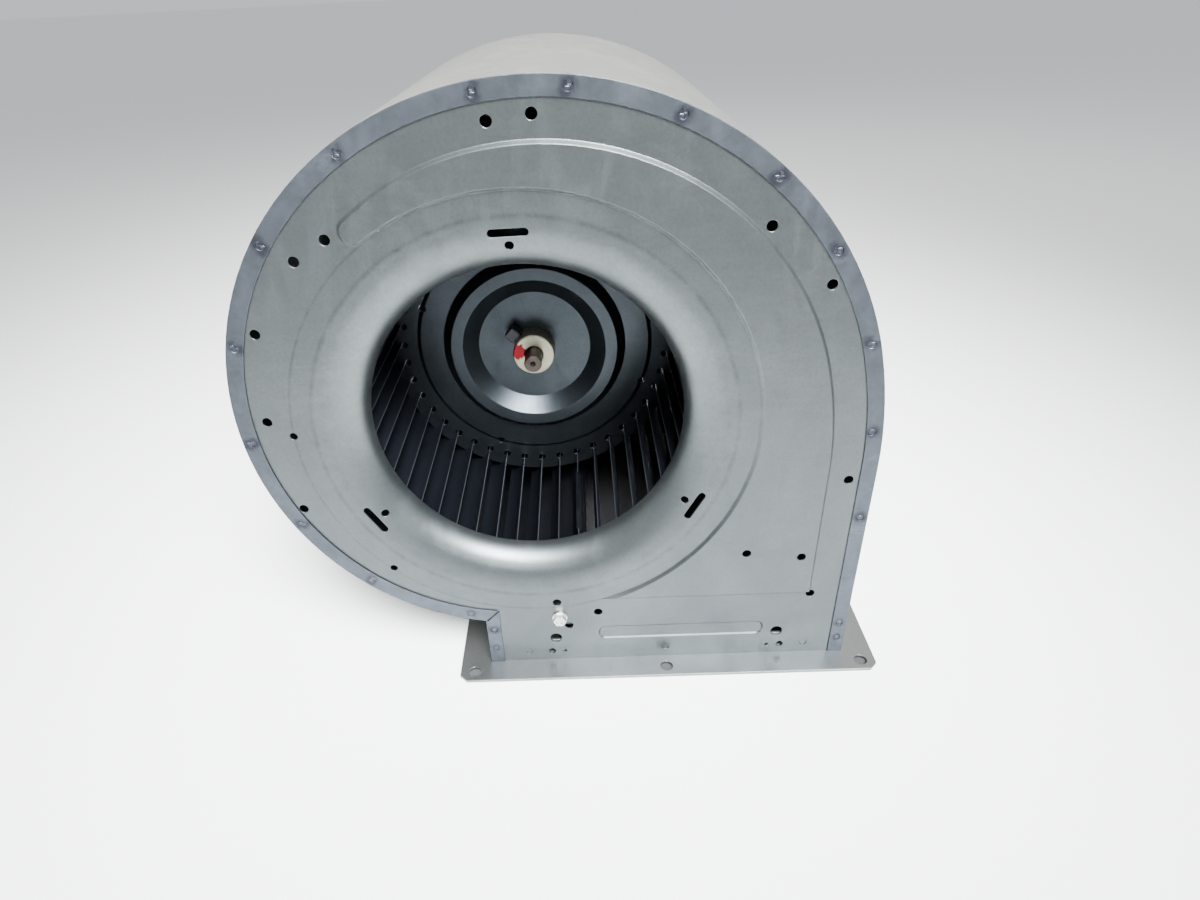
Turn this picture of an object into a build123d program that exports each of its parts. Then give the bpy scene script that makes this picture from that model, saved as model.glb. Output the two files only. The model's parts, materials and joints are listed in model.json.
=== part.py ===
from build123d import *
import os
from math import asin, atan2, cos, degrees, hypot, pi, radians, sin

# Double-inlet centrifugal blower: a scroll housing standing on its outlet flange, a
# forward-curved wheel on the shaft of a motor, and the motor held in the far inlet by three arms.
#
# Everything is drawn about the wheel axis (Y) at mid width, then moved so that the origin is the
# centre of the outlet flange's underside. +Z is up, -Y is the free inlet, +Y is the motor side.
# Polar angles are in degrees from +X towards +Z. All sizes are in millimetres.

# ---------- housing ----------
housing_width = 300.0          # over the outer faces of the two side panels
short_wall_height = 40.7655    # short outlet wall, from the flange plate to the scroll
panel_sheet = 1.2
wrap_sheet = 1.0
rim_width = 10.0               # wrap edge folded over each side panel

# ---------- scroll ----------
scroll_clearance = 37.1        # wheel to the scroll's outside at the cutoff angle
cutoff_angle = 250.0
scroll_growth = 0.2247         # radius gained per degree towards the outlet
spread_angle = 12.0            # the spiral ends here and the outlet bend starts
outlet_bend_radius = 292.0     # outside radius of the bend down to the straight outlet wall
cutoff_wall_x = -40.0          # outside face of the short outlet wall, from the wheel axis

# ---------- inlets ----------
throat_gap = 2.2               # blades' inner edges to the throat, radially
bell_radial = 31.0             # bellmouth lip, radially
bell_depth = 21.2              # and along the axis

# ---------- pressed panel ribs ----------
crescent_gap = 12.7            # from the bellmouth lip to the raised field
crescent_inset = 29.0          # from the scroll outline to the raised field
crescent_start_angle = 124.0
crescent_foot_rise = 6.5       # its foot above the lowest point of its inner circle
crescent_height = 2.0
crescent_slope = 1.8           # run of the pressed edge
bead_length = 118.0
bead_width = 12.0
bead_depth = 1.0
bead_slope = 1.2
bead_from_long_wall = 118.0    # bead centre to the long outlet wall
bead_height = 25.0             # bead centre above the flange plate

# ---------- motor mounting holes, the same in both panels ----------
arm_angles = (90.6, 210.6, 330.6)
arm_slot_from_throat = 22.2
arm_slot_length = 22.0
arm_slot_width = 4.5
arm_hole_from_throat = 14.9
arm_hole_diameter = 5.0

# ---------- accessory holes ----------
hole_diameter = 6.0
small_hole_diameter = 4.8
# polar angle, distance in from the scroll outline
rim_holes = ((85.5, 17.5), (92.8, 18.8), (129.8, 29.5), (137.3, 22.8), (155.1, 15.2),
             (175.3, 18.4), (198.9, 13.2), (41.2, 24.0), (26.5, 15.4))
small_rim_holes = ((179.4, 31.8), (226.6, 22.5))
# distance from the outlet wall, height above the flange plate
long_wall_holes = ((16.5, 149.5), (76.5, 94.5), (39.5, 90.0), (29.0, 56.0))
cutoff_holes = ((51.3, 55.0), (80.0, 45.0), (59.0, 33.0))
outlet_big_hole_diameter = 8.4
outlet_big_holes = (49.0, 21.2)        # from either outlet wall, and up
outlet_small_hole_diameter = 5.0
outlet_small_holes = (45.5, 8.2)
pin_hole_diameter = 2.6
pin_holes = (55.0, 8.2)

# ---------- clinched joints ----------
clinch_diameter = 5.0
clinch_depth = 0.4
clinch_angles = (251.0, 224.0, 202.0, 180.0, 159.0, 138.0, 117.0, 94.0, 80.0, 63.0, 46.0, 31.0, 14.0, -2.0)
long_wall_clinches = (28.5, 14.0, 120.5)   # heights above the flange plate
cutoff_wall_clinches = (32.0, 14.0)
flange_clinch_spacing = 100.0
flange_clinch_height = 9.0

# ---------- outlet flange ----------
flange_sheet = 2.0
flange_overhang_x = 22.0
flange_overhang_y = 19.0
flange_corner = 5.5
flange_upstand = 18.0
flange_hole_diameter = 9.0
flange_hole_inset_x = 10.5             # hole centres in from the ends
flange_hole_inset_y = 8.5
flange_gap = 0.1                       # upstand to panel and wrap

# ---------- cutoff plate ----------
cutoff_sheet = 1.0
cutoff_tip_angle = 284.0
cutoff_tip_clearance = 13.0            # plate to blades at its lip
cutoff_bends = 5
cutoff_tab_drop = 2.3                  # plate below the scroll's end
cutoff_foot_gap = 4.0                  # tab on the short wall to the flange upstand
cutoff_nose = 6.0                      # lip turned down
cutoff_ear = 16.0                      # width of the ears that take the screws
cutoff_side_gap = 0.2
screw_diameter = 4.0
screw_washer_diameter = 10.5
screw_washer_thickness = 1.0
screw_head_across_flats = 8.0
screw_head_height = 4.0
screw_length = 10.0
cutoff_screw = (52.7, 41.2)            # from the short outlet wall, and up

# ---------- wheel ----------
wheel_radius = 120.5
wheel_end_gap = 1.5                    # throat edge to wheel end
blade_count = 43
blade_phase = 269.7                    # polar angle of one blade's inner edge
blade_inset = 20.5                     # wheel radius to the blades' inner edges
blade_tip_gap = 0.6                    # blade tips to the end ring's hem
blade_curve_radius = 22.0
blade_sheet = 0.6
blade_tab = 1.6                        # blade ends standing past the end rings
ring_sheet = 1.0
ring_inset = 2.0                       # blades' inner edges to the end rings
ring_hem = 7.0

# ---------- wheel disc: faces seen from the free inlet, Y from mid width ----------
disc_sheet = 1.2
disc_inset = 12.0                      # wheel radius to the disc's rim
disc_rim_face = -15.0
disc_land_face = -17.2
disc_ring_face = -25.0
disc_dish_face = -16.5
# the disc's bends, measured in from the blades' inner edges
disc_step_outer_inset = 12.2
disc_step_inner_inset = 15.0
disc_wall_outer_inset = 32.2
disc_ring_outer_inset = 38.5
disc_ring_inner_inset = 47.0
disc_dish_inset = 58.4
relief_hole_inset = 1.7                # holes at the blade slots' inner ends
relief_hole_diameter = 5.2
blade_slot_gap = 0.05
balance_hole_inset = 13.5
balance_hole_diameter = 5.5
balance_hole_angles = (68.0, 158.0, 248.0, 338.0)
clip_from_wheel_end = 8.0
clip_length = 74.0
clip_sheet = 0.8
clip_depth = 5.0

# ---------- hub ----------
hub_radius = 15.2
hub_face = -33.6
hub_neck_radius = 12.0
hub_collar_radius = 19.0
hub_collar_length = 5.0
hub_bore_gap = 0.02
hub_chamfer = 0.9
set_screw_angle = 138.0
set_screw_from_face = 10.0
set_screw_thread = 8.0
set_screw_head = 9.5
set_screw_head_length = 7.0
set_screw_head_clearance = 1.5

# ---------- shaft and rotor ----------
shaft_radius = 6.35
shaft_proud = 16.0
shaft_flat_depth = 1.15
shaft_flat_length = 48.0
centre_drill_diameter = 4.0
centre_drill_depth = 3.0
rotor_length = 50.0
rotor_start = 36.0                     # from mid width towards the motor side
rotor_ring_length = 7.0
rotor_ring_inset = 1.5
rotor_ring_wall = 12.5
thrust_washer_thickness = 1.0
thrust_washer_radius = 10.5

# ---------- motor ----------
motor_radius = 69.85
shell_sheet = 1.6
shell_start = 9.0
shell_length = 104.0
air_gap = 0.4
stator_depth = 27.85                   # inside of the shell to the rotor's air gap
stator_yoke = 12.0
stator_slots = 24
stator_slot_width = 5.0
winding_length = 13.0
bell_sheet = 3.0
bell_rim_depth = 8.0
bell_boss_radius = 17.0
bell_boss_length = 15.0
bell_vents = 8
vent_length = 20.0
vent_width = 6.0
bearing_radius = 11.0
bearing_gap = 0.03
bolt_inset = 5.05                      # motor radius to the through bolts
bolt_diameter = 4.0
bolt_angles = (45.0, 135.0, 225.0, 315.0)
bolt_head_across_flats = 7.0
bolt_head_height = 3.0
gland_angle = 270.0
gland_from_shell_end = 16.5
gland_radius = 7.0
gland_bore = 3.2

# ---------- motor band and arms ----------
band_sheet = 1.5
band_width = 20.0
band_from_shell_end = 24.5
band_gap_angle = 30.0
band_gap = 8.0
lug_height = 14.0
lug_sheet = 2.5
clamp_screw_diameter = 5.0
clamp_nut_across_flats = 8.0
clamp_nut_height = 4.0
arm_sheet = 3.0
arm_width = 20.0
arm_throat_gap = 9.8                   # throat to the arm's centre line
arm_tab_depth = 9.0                    # tab reaching down through the panel slot
grommet_radius = 5.5
grommet_collar = 3.0
grommet_neck = 4.0
grommet_bore = 2.6
arm_screw_length = 18.0

# ---------- worked-out places ----------
half_width = housing_width / 2
growth_per_radian = scroll_growth * 180 / pi
cutoff_radius = wheel_radius + scroll_clearance
blade_inner_radius = wheel_radius - blade_inset
throat_radius = blade_inner_radius - throat_gap
bell_radius = throat_radius + bell_radial
crescent_inner_radius = bell_radius + crescent_gap
arm_slot_radius = throat_radius + arm_slot_from_throat
arm_hole_radius = throat_radius + arm_hole_from_throat
arm_neck_radius = throat_radius - arm_throat_gap
wheel_half = half_width - bell_depth - wheel_end_gap
blade_outer_radius = wheel_radius - ring_sheet - blade_tip_gap
ring_inner_radius = blade_inner_radius + ring_inset
disc_radius = wheel_radius - disc_inset
shaft_flat = shaft_radius - shaft_flat_depth
rotor_radius = motor_radius - shell_sheet - stator_depth - air_gap
bolt_circle_radius = motor_radius - bolt_inset


def spiral_radius(angle):
    return cutoff_radius + scroll_growth * (cutoff_angle - angle)


def spiral_frame(angle):
    """Outline point at a polar angle, with its inward normal."""
    r, a = spiral_radius(angle), radians(angle)
    tx = -growth_per_radian * cos(a) - r * sin(a)
    tz = -growth_per_radian * sin(a) + r * cos(a)
    size = hypot(tx, tz)
    return (r * cos(a), r * sin(a)), (-tz / size, tx / size)


def spiral_point(angle, inset=0.0):
    (x, z), (nx, nz) = spiral_frame(angle)
    return x + inset * nx, z + inset * nz


def polar(radius, angle):
    return radius * cos(radians(angle)), radius * sin(radians(angle))


def corner_angle(inset):
    """Polar angle where the inset spiral meets the inset short outlet wall."""
    low, high = 180.0, 300.0
    for _ in range(40):
        middle = (low + high) / 2
        if spiral_point(middle, inset)[0] < cutoff_wall_x + inset:
            low = middle
        else:
            high = middle
    return low


_bend_start, _bend_normal = spiral_frame(spread_angle)
bend_centre = (_bend_start[0] + outlet_bend_radius * _bend_normal[0],
               _bend_start[1] + outlet_bend_radius * _bend_normal[1])
long_wall_x = bend_centre[0] + outlet_bend_radius
outlet_middle = (cutoff_wall_x + long_wall_x) / 2
outlet_length = long_wall_x - cutoff_wall_x
plate_top = spiral_point(corner_angle(0))[1] - short_wall_height
axis_height = flange_sheet - plate_top


def scroll_edges(inset, end_angle):
    """Spiral from an end angle round to the outlet bend, then the bend."""
    count = 18
    step = (spread_angle - end_angle) / count
    spiral = Spline(*[spiral_point(end_angle + step * i, inset) for i in range(count + 1)])
    half_turn = degrees(atan2(-_bend_normal[1], -_bend_normal[0])) / 2
    radius = outlet_bend_radius - inset
    middle = (bend_centre[0] + radius * cos(radians(half_turn)),
              bend_centre[1] + radius * sin(radians(half_turn)))
    bend = ThreePointArc(spiral_point(spread_angle, inset), middle,
                         (long_wall_x - inset, bend_centre[1]))
    return [spiral, bend]


def housing_outline(inset):
    """The side view of the housing, moved inward and open only at the flange plate."""
    end = corner_angle(inset)
    corner = spiral_point(end, inset)
    wall = (long_wall_x - inset, bend_centre[1])
    foot_long = (wall[0], plate_top)
    foot_short = (corner[0], plate_top)
    closing = Polyline(wall, foot_long, foot_short, corner)
    return make_face(scroll_edges(inset, end) + [closing])


def slab(sketch, y_from, y_to):
    """Extrude a sketch drawn as (X, Z) between two stations along Y."""
    return extrude(Plane.XZ.offset(-y_to) * sketch, amount=y_to - y_from, dir=(0, -1, 0))


def turned(*points):
    """Revolve a closed outline drawn as (radius, Y) about the wheel axis."""
    return revolve(make_face(Polyline(*points, close=True)), Axis.Y)


def ring(outer, inner, y_from, y_to):
    return slab(Circle(outer) - Circle(inner), y_from, y_to)


def around(angle):
    """Turn a piece from +X to a polar angle about the wheel axis."""
    return Rot(0, -angle, 0)


def pressed(outline, y_base, y_top, slope, shrink=0.0):
    """A raised or sunk field with sloping sides; outline(e) draws it drawn in by e."""
    base = Plane.XZ.offset(-y_base) * outline(shrink)
    top = Plane.XZ.offset(-y_top) * outline(shrink + slope)
    return loft([base.face(), top.face()], ruled=True)


def hex_prism(across_flats, y_from, y_to):
    return slab(RegularPolygon(across_flats / 2, 6, major_radius=False), y_from, y_to)


# ---------- side panels ----------
def crescent_outline(shrink):
    """Field between the scroll and the inlet: round at its thin end, straight at its foot."""
    inset, inner = crescent_inset + shrink, crescent_inner_radius + shrink
    floor = crescent_foot_rise - crescent_inner_radius + shrink
    tip_out = spiral_point(crescent_start_angle, inset)
    tip_in = polar(inner, crescent_start_angle)
    centre = ((tip_out[0] + tip_in[0]) / 2, (tip_out[1] + tip_in[1]) / 2)
    tip_radius = hypot(tip_out[0] - tip_in[0], tip_out[1] - tip_in[1]) / 2
    tip = (centre[0] - tip_radius * sin(radians(crescent_start_angle)),
           centre[1] + tip_radius * cos(radians(crescent_start_angle)))
    foot_angle = 360.0 - degrees(asin(-floor / inner))
    foot = polar(inner, foot_angle)
    inner_middle = polar(inner, (crescent_start_angle + foot_angle - 360.0) / 2)
    wall = (long_wall_x - inset, bend_centre[1])
    edges = scroll_edges(inset, crescent_start_angle)
    edges.append(Polyline(wall, (wall[0], floor), foot))
    edges.append(ThreePointArc(foot, inner_middle, tip_in))
    edges.append(ThreePointArc(tip_in, tip, tip_out))
    return make_face(edges)


def bead_outline(shrink):
    place = Pos(long_wall_x - bead_from_long_wall, plate_top + bead_height)
    corner = bead_width / 2 - 1.0 - shrink
    return place * RectangleRounded(bead_length - 2 * shrink, bead_width - 2 * shrink, corner)


def panel_hole_places():
    """Every plain round hole as (x, z, diameter)."""
    holes = [(*spiral_point(a, inset), hole_diameter) for a, inset in rim_holes]
    holes += [(*spiral_point(a, inset), small_hole_diameter) for a, inset in small_rim_holes]
    holes += [(long_wall_x - x, plate_top + z, hole_diameter) for x, z in long_wall_holes]
    holes += [(cutoff_wall_x + x, plate_top + z, hole_diameter) for x, z in cutoff_holes]
    pairs = ((outlet_big_holes, outlet_big_hole_diameter),
             (outlet_small_holes, outlet_small_hole_diameter), (pin_holes, pin_hole_diameter))
    for (x, z), diameter in pairs:
        holes.append((cutoff_wall_x + x, plate_top + z, diameter))
        holes.append((long_wall_x - x, plate_top + z, diameter))
    holes.append((*cutoff_screw_place(), screw_diameter))
    holes += [(*polar(arm_hole_radius, a), arm_hole_diameter) for a in arm_angles]
    return holes


def cutoff_screw_place():
    return cutoff_wall_x + cutoff_screw[0], plate_top + cutoff_screw[1]


def flange_clinch_places():
    return [(outlet_middle + flange_clinch_spacing * i, plate_top + flange_clinch_height)
            for i in (-1, 0, 1)]


def side_panel():
    """The free inlet's panel: sheet, bellmouth, pressed field, bead and every hole."""
    face, back = -half_width, -half_width + panel_sheet
    sheet = slab(housing_outline(wrap_sheet) - Circle(bell_radius), face, back)
    lip_y = face + bell_depth
    outer_lip = EllipticalCenterArc((bell_radius, lip_y), bell_radial, bell_depth, 180, arc_size=90)
    inner_lip = EllipticalCenterArc((bell_radius, lip_y), bell_radial - panel_sheet,
                                    bell_depth - panel_sheet, 180, arc_size=90)
    lip = make_face([outer_lip, inner_lip,
                     Line((throat_radius, lip_y), (throat_radius + panel_sheet, lip_y)),
                     Line((bell_radius, face), (bell_radius, back))])
    panel = sheet + revolve(lip, Axis.Y)
    panel += pressed(crescent_outline, face, face - crescent_height, crescent_slope)
    panel -= pressed(crescent_outline, back, back - crescent_height, crescent_slope, panel_sheet / 2)
    panel += pressed(bead_outline, back, back + bead_depth, bead_slope, -panel_sheet / 2)
    panel -= pressed(bead_outline, face, face + bead_depth, bead_slope)
    cuts = Sketch() + [Pos(x, z) * Circle(d / 2) for x, z, d in panel_hole_places()]
    for angle in arm_angles:
        slot = Pos(arm_slot_radius, 0) * Rot(0, 0, 90) * SlotOverall(arm_slot_length, arm_slot_width)
        cuts += Rot(0, 0, angle) * slot
    panel -= slab(cuts, face - crescent_height - 1, lip_y)
    dimples = Sketch() + [Pos(x, z) * Circle(clinch_diameter / 2) for x, z in flange_clinch_places()]
    return panel - slab(dimples, face, face + clinch_depth)


# ---------- scroll wrap ----------
def wrap_clinch_places():
    inset = rim_width / 2
    places = [spiral_point(a, inset) for a in clinch_angles]
    places += [(long_wall_x - inset, plate_top + z) for z in long_wall_clinches]
    places += [(cutoff_wall_x + inset, plate_top + z) for z in cutoff_wall_clinches]
    return places


def scroll_wrap():
    """One strip round the scroll and both outlet walls, its edges folded over the panels."""
    outline = housing_outline(0)
    wall = outline - housing_outline(wrap_sheet)
    rim = outline - housing_outline(rim_width)
    corner = spiral_point(corner_angle(rim_width / 2), rim_width / 2)
    rim -= Pos(*corner) * Rot(0, 0, 45) * Rectangle(4 * rim_width, 1.5)
    dimples = Sketch() + [Pos(x, z) * Circle(clinch_diameter / 2) for x, z in wrap_clinch_places()]
    outside = half_width + wrap_sheet
    wrap = slab(wall, -outside, outside)
    wrap += slab(rim, -outside, -half_width) + slab(rim, half_width, outside)
    wrap -= slab(dimples, -outside, -outside + clinch_depth)
    return wrap - slab(dimples, outside - clinch_depth, outside)


# ---------- outlet flange ----------
def outlet_flange():
    """Flat frame under the outlet with an upstand inside each wall."""
    length = outlet_length + 2 * flange_overhang_x
    width = housing_width + 2 * flange_overhang_y
    clear_x = outlet_length - 2 * (wrap_sheet + flange_gap)
    clear_y = housing_width - 2 * (panel_sheet + flange_gap)
    opening = Rectangle(clear_x - 2 * flange_sheet, clear_y - 2 * flange_sheet)
    base = Plane.XY.offset(-axis_height)
    place = Pos(outlet_middle, 0)
    plate = chamfer(Rectangle(length, width).vertices(), flange_corner) - opening
    rows = length / 2 - flange_hole_inset_x, width / 2 - flange_hole_inset_y
    for x in (-rows[0], 0, rows[0]):
        for y in (-rows[1], rows[1]):
            plate -= Pos(x, y) * Circle(flange_hole_diameter / 2)
    upstand = Rectangle(clear_x, clear_y) - opening
    frame = extrude(base * place * plate, amount=flange_sheet)
    frame += extrude(base * place * upstand, amount=flange_sheet + flange_upstand)
    holes = Sketch()
    for wall in (cutoff_wall_x, long_wall_x):
        side = 1 if wall == cutoff_wall_x else -1
        for (x, z), diameter in ((outlet_small_holes, outlet_small_hole_diameter),
                                 (pin_holes, pin_hole_diameter)):
            holes += Pos(wall + side * x, plate_top + z) * Circle(diameter / 2)
    return frame - slab(holes, -half_width, half_width)


# ---------- cutoff plate ----------
def cutoff_surface(angle):
    """Middle of the plate at a polar angle: it closes evenly on the wheel up to its lip."""
    x = cutoff_wall_x + wrap_sheet + cutoff_side_gap + cutoff_sheet / 2
    z = spiral_point(corner_angle(0))[1] - cutoff_tab_drop
    start_angle, start_radius = degrees(atan2(z, x)) + 360.0, hypot(x, z)
    lip_radius = blade_outer_radius + cutoff_tip_clearance
    share = (angle - start_angle) / (cutoff_tip_angle - start_angle)
    return polar(start_radius + share * (lip_radius - start_radius), angle), start_angle


def cutoff_plate():
    """Bent plate from the scroll's start towards the wheel, with an ear at each panel."""
    reach = half_width - panel_sheet - cutoff_side_gap
    start_angle = cutoff_surface(cutoff_tip_angle)[1]
    step = (cutoff_tip_angle - start_angle) / cutoff_bends
    surface = [cutoff_surface(start_angle + step * i)[0] for i in range(cutoff_bends + 1)]
    foot = (surface[0][0], plate_top + flange_upstand + cutoff_foot_gap)
    nose = (surface[-1][0] + 1.5, surface[-1][1] - cutoff_nose)
    plate = slab(bent_strip([foot, *surface, nose], cutoff_sheet), -reach, reach)
    x, z = cutoff_screw_place()
    low = z - cutoff_ear / 2
    sides = [x - cutoff_ear / 2, x + cutoff_ear / 2]
    tops = [cutoff_surface(270.0 + degrees(atan2(side, -z)))[0] for side in sides]
    ear = make_face(Polyline((sides[0], low), (sides[1], low), *reversed(tops), close=True))
    ear -= Pos(x, z) * Circle(screw_diameter / 2)
    ears = slab(ear, -reach, -reach + cutoff_sheet) + slab(ear, reach - cutoff_sheet, reach)
    return plate + ears


def bent_strip(path, thickness):
    """Outline of a strip of even thickness along an open path of straight runs."""
    sides = ([], [])
    for i, point in enumerate(path):
        before = path[max(i - 1, 0)]
        after = path[min(i + 1, len(path) - 1)]
        run_in = Vector(point[0] - before[0], point[1] - before[1])
        run_out = Vector(after[0] - point[0], after[1] - point[1])
        first = (run_in if i else run_out).normalized()
        second = (run_out if i < len(path) - 1 else run_in).normalized()
        mitre = (Vector(-first.Y, first.X) + Vector(-second.Y, second.X)).normalized()
        reach = thickness / 2 / (mitre.X * -first.Y + mitre.Y * first.X)
        sides[0].append((point[0] + mitre.X * reach, point[1] + mitre.Y * reach))
        sides[1].append((point[0] - mitre.X * reach, point[1] - mitre.Y * reach))
    return make_face(Polyline(*sides[0], *reversed(sides[1]), close=True))


def washer_head_screw(diameter, length):
    """Hex washer-head screw along +Y with its seat at Y = 0 and its shank towards +Y."""
    shank = slab(Circle(diameter / 2), 0, length)
    washer = slab(Circle(screw_washer_diameter / 2), -screw_washer_thickness, 0)
    top = -screw_washer_thickness
    head = hex_prism(screw_head_across_flats, top - screw_head_height, top)
    dish = slab(Circle(screw_head_across_flats * 0.3), top - screw_head_height,
                top - screw_head_height + 0.8)
    return shank + washer + head - dish


def cutoff_screws():
    x, z = cutoff_screw_place()
    near = Pos(x, -half_width, z) * washer_head_screw(screw_diameter, screw_length)
    return [near, mirror(near, Plane.XZ)]


# ---------- wheel ----------
def blade_section(thickness):
    """Forward-curved section, radial at its inner edge and leaning clockwise at its tip."""
    a = 2 * blade_inner_radius * blade_curve_radius
    b = 2 * blade_curve_radius ** 2
    c = blade_outer_radius ** 2 - blade_inner_radius ** 2
    turn = degrees(atan2(b, a) + asin((c - b) / hypot(a, b)))
    centre = (blade_inner_radius, -blade_curve_radius)
    outside = CenterArc(centre, blade_curve_radius + thickness / 2, 90, -turn)
    inside = CenterArc(centre, blade_curve_radius - thickness / 2, 90, -turn)
    return make_face([outside, inside, Line(outside @ 0, inside @ 0), Line(outside @ 1, inside @ 1)])


def blade_angles():
    return [blade_phase + 360.0 / blade_count * i for i in range(blade_count)]


def blades():
    """All blades: each passes through the disc and its tabs stand past the end rings."""
    section = blade_section(blade_sheet)
    end = wheel_half - ring_sheet
    body = slab(section, -end, end)
    tab_band = Circle(ring_inner_radius - 0.3)
    tab = slab(section & tab_band, -end - blade_tab, end + blade_tab)
    blade = body + tab
    return [around(a) * blade for a in blade_angles()]


def end_ring(side):
    """Ring with a rolled hem that gathers the blade tips; side is -1 or +1."""
    end = side * wheel_half
    web = end - side * ring_sheet
    hem = end - side * ring_hem
    skin = wheel_radius - ring_sheet
    return turned((ring_inner_radius, end), (wheel_radius, end), (wheel_radius, hem),
                  (skin, hem), (skin, web), (ring_inner_radius, web))


def centre_disc():
    """Pressed disc: dished middle, raised ring, sloping walls and a slotted rim."""
    bends = [(disc_dish_inset, disc_dish_face), (disc_ring_inner_inset, disc_ring_face),
             (disc_ring_outer_inset, disc_ring_face), (disc_wall_outer_inset, disc_land_face),
             (disc_step_inner_inset, disc_land_face), (disc_step_outer_inset, disc_rim_face)]
    face = [(hub_neck_radius, disc_dish_face)]
    face += [(blade_inner_radius - inset, y) for inset, y in bends]
    face.append((disc_radius, disc_rim_face))
    back = [(r, y + disc_sheet) for r, y in reversed(face)]
    disc = turned(*face, *back)
    slot = slab(blade_section(blade_sheet + 2 * blade_slot_gap), disc_rim_face - 2, disc_rim_face + 4)
    relief = Pos(blade_inner_radius - relief_hole_inset, 0) * Circle(relief_hole_diameter / 2)
    tool = slot + slab(relief, disc_rim_face - 2, disc_rim_face + 4)
    for angle in blade_angles():
        disc -= around(angle) * tool
    for angle in balance_hole_angles:
        hole = Pos(*polar(blade_inner_radius - balance_hole_inset, angle)) * Circle(balance_hole_diameter / 2)
        disc -= slab(hole, disc_land_face - 2, disc_rim_face + 4)
    return disc


def wheel_hub():
    """Turned hub staked through the disc, bored for the shaft and tapped for the set screw."""
    back = disc_dish_face + disc_sheet
    end = back + hub_collar_length
    bore = shaft_radius + hub_bore_gap
    hub = turned((bore, hub_face + hub_chamfer), (bore + hub_chamfer, hub_face),
                 (hub_radius - 0.8, hub_face), (hub_radius, hub_face + 0.8),
                 (hub_radius, disc_dish_face), (hub_neck_radius, disc_dish_face),
                 (hub_neck_radius, back), (hub_collar_radius, back),
                 (hub_collar_radius, end), (bore, end))
    return hub - around(set_screw_angle) * radial_rod(set_screw_thread / 2, 0, hub_radius + 2)


def radial_rod(radius, start, end):
    """Rod along the radius at the set screw's station."""
    y = hub_face + set_screw_from_face
    return Pos(start, y, 0) * Rot(0, 90, 0) * extrude(Circle(radius), amount=end - start)


def hub_set_screw():
    """Square-head set screw bearing on the shaft's flat."""
    head_start = hub_radius + set_screw_head_clearance
    head_end = head_start + set_screw_head_length
    y = hub_face + set_screw_from_face
    shank = radial_rod(set_screw_thread / 2 - 0.05, shaft_flat, head_start)
    square = RectangleRounded(set_screw_head, set_screw_head, 1.2)
    head = Pos(head_start, y, 0) * Rot(0, 90, 0) * extrude(square, amount=head_end - head_start)
    return around(set_screw_angle) * (shank + head)


def balance_clip():
    """Spring clip pushed over one blade's inner edge."""
    angle = blade_phase + 360.0 / blade_count * 2
    gap = blade_sheet + 0.04
    front = blade_inner_radius - clip_sheet - 0.4
    profile = Pos(front + clip_depth / 2, 0) * Rectangle(clip_depth, gap + 2 * clip_sheet)
    profile -= Pos(front + clip_sheet + clip_depth / 2, 0) * Rectangle(clip_depth, gap)
    profile -= blade_section(gap)
    start = clip_from_wheel_end - wheel_half
    return around(angle) * slab(profile, start, start + clip_length)


# ---------- shaft and rotor ----------
def motor_layout():
    """Stations along Y: front bell face, rear bell face, shaft ends."""
    front = shell_start - bell_sheet
    rear = shell_start + shell_length + bell_sheet
    return front, rear, hub_face - shaft_proud, rear + 4.0


def motor_shaft():
    """Shaft from the hub to the rear bearing, flatted under the set screw."""
    _, _, tip, tail = motor_layout()
    shaft = turned((0, tip), (shaft_radius - 0.6, tip), (shaft_radius, tip + 0.6),
                   (shaft_radius, tail - 0.6), (shaft_radius - 0.6, tail), (0, tail))
    flat = Pos(shaft_flat + shaft_radius, tip + shaft_flat_length / 2, 0) * Box(
        2 * shaft_radius, shaft_flat_length, 4 * shaft_radius)
    drill = turned((0, tip), (centre_drill_diameter / 2, tip), (0, tip + centre_drill_depth))
    return shaft - around(set_screw_angle) * flat - drill


def rotor_core():
    return ring(rotor_radius, shaft_radius, rotor_start, rotor_start + rotor_length)


def rotor_end_rings():
    outer = rotor_radius - rotor_ring_inset
    bore = outer - rotor_ring_wall
    end = rotor_start + rotor_length
    return [ring(outer, bore, rotor_start - rotor_ring_length, rotor_start),
            ring(outer, bore, end, end + rotor_ring_length)]


def bearing_stations():
    """The two bearings' inner ends, between which the rotor floats."""
    front, rear, _, _ = motor_layout()
    return front + bell_boss_length, rear - bell_boss_length


def thrust_washers():
    front_end, rear_end = bearing_stations()
    play = 0.3
    first = front_end + play
    last = rear_end - play
    return [ring(thrust_washer_radius, shaft_radius, first, first + thrust_washer_thickness),
            ring(thrust_washer_radius, shaft_radius, last - thrust_washer_thickness, last)]


# ---------- motor ----------
def bolt_holes(radius):
    return Sketch() + [Pos(*polar(bolt_circle_radius, a)) * Circle(radius) for a in bolt_angles]


def gland_station():
    return shell_start + shell_length - gland_from_shell_end


def gland_rod(radius, start, end):
    rod = Rot(0, 90, 0) * extrude(Circle(radius), amount=end - start)
    return around(gland_angle) * (Pos(start, gland_station(), 0) * rod)


def motor_shell():
    shell = ring(motor_radius, motor_radius - shell_sheet, shell_start, shell_start + shell_length)
    return shell - gland_rod(gland_radius - 2, motor_radius - 5, motor_radius + 5)


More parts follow.
